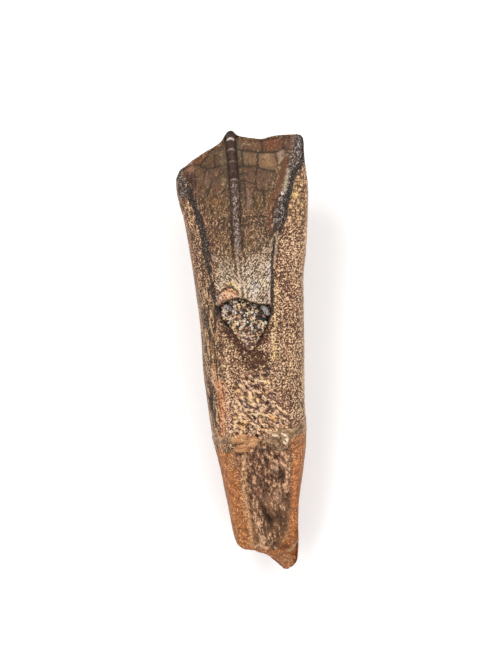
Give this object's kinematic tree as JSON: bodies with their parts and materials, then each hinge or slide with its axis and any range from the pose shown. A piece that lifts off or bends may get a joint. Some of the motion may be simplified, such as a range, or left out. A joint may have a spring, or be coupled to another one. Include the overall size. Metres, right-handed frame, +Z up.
{
  "type": "fossil hadrosaur tooth",
  "caption": "Rooted duck-billed dinosaur tooth lying on its back: keeled enamel face, slanting worn crown, sandstone in a hollow below the enamel and a filled break across the root.",
  "frame": {"origin": "on the surface the tooth rests on, under the middle of its outline seen from above", "axes": "+Z up and out of the enamel face, +Y along the tooth towards the worn crown edge, +X to the right looking at the enamel face with the crown up"},
  "size_m": [0.0126, 0.0427, 0.0097],
  "materials": {
    "fossil_tooth": "brown permineralised tooth: satin enamel face with dark margins and fine cracks, grainy orange-brown root",
    "sandstone": "coarse cemented sand, cream, tan and grey grains with dark gaps, dull",
    "filler": "smeared tan glue and putty, smooth, slight sheen"
  },
  "bodies": {
    "root": {"tooth": "fossil_tooth", "pocket_sandstone": "sandstone", "repair_filler": "filler"}
  },
  "joints": []
}
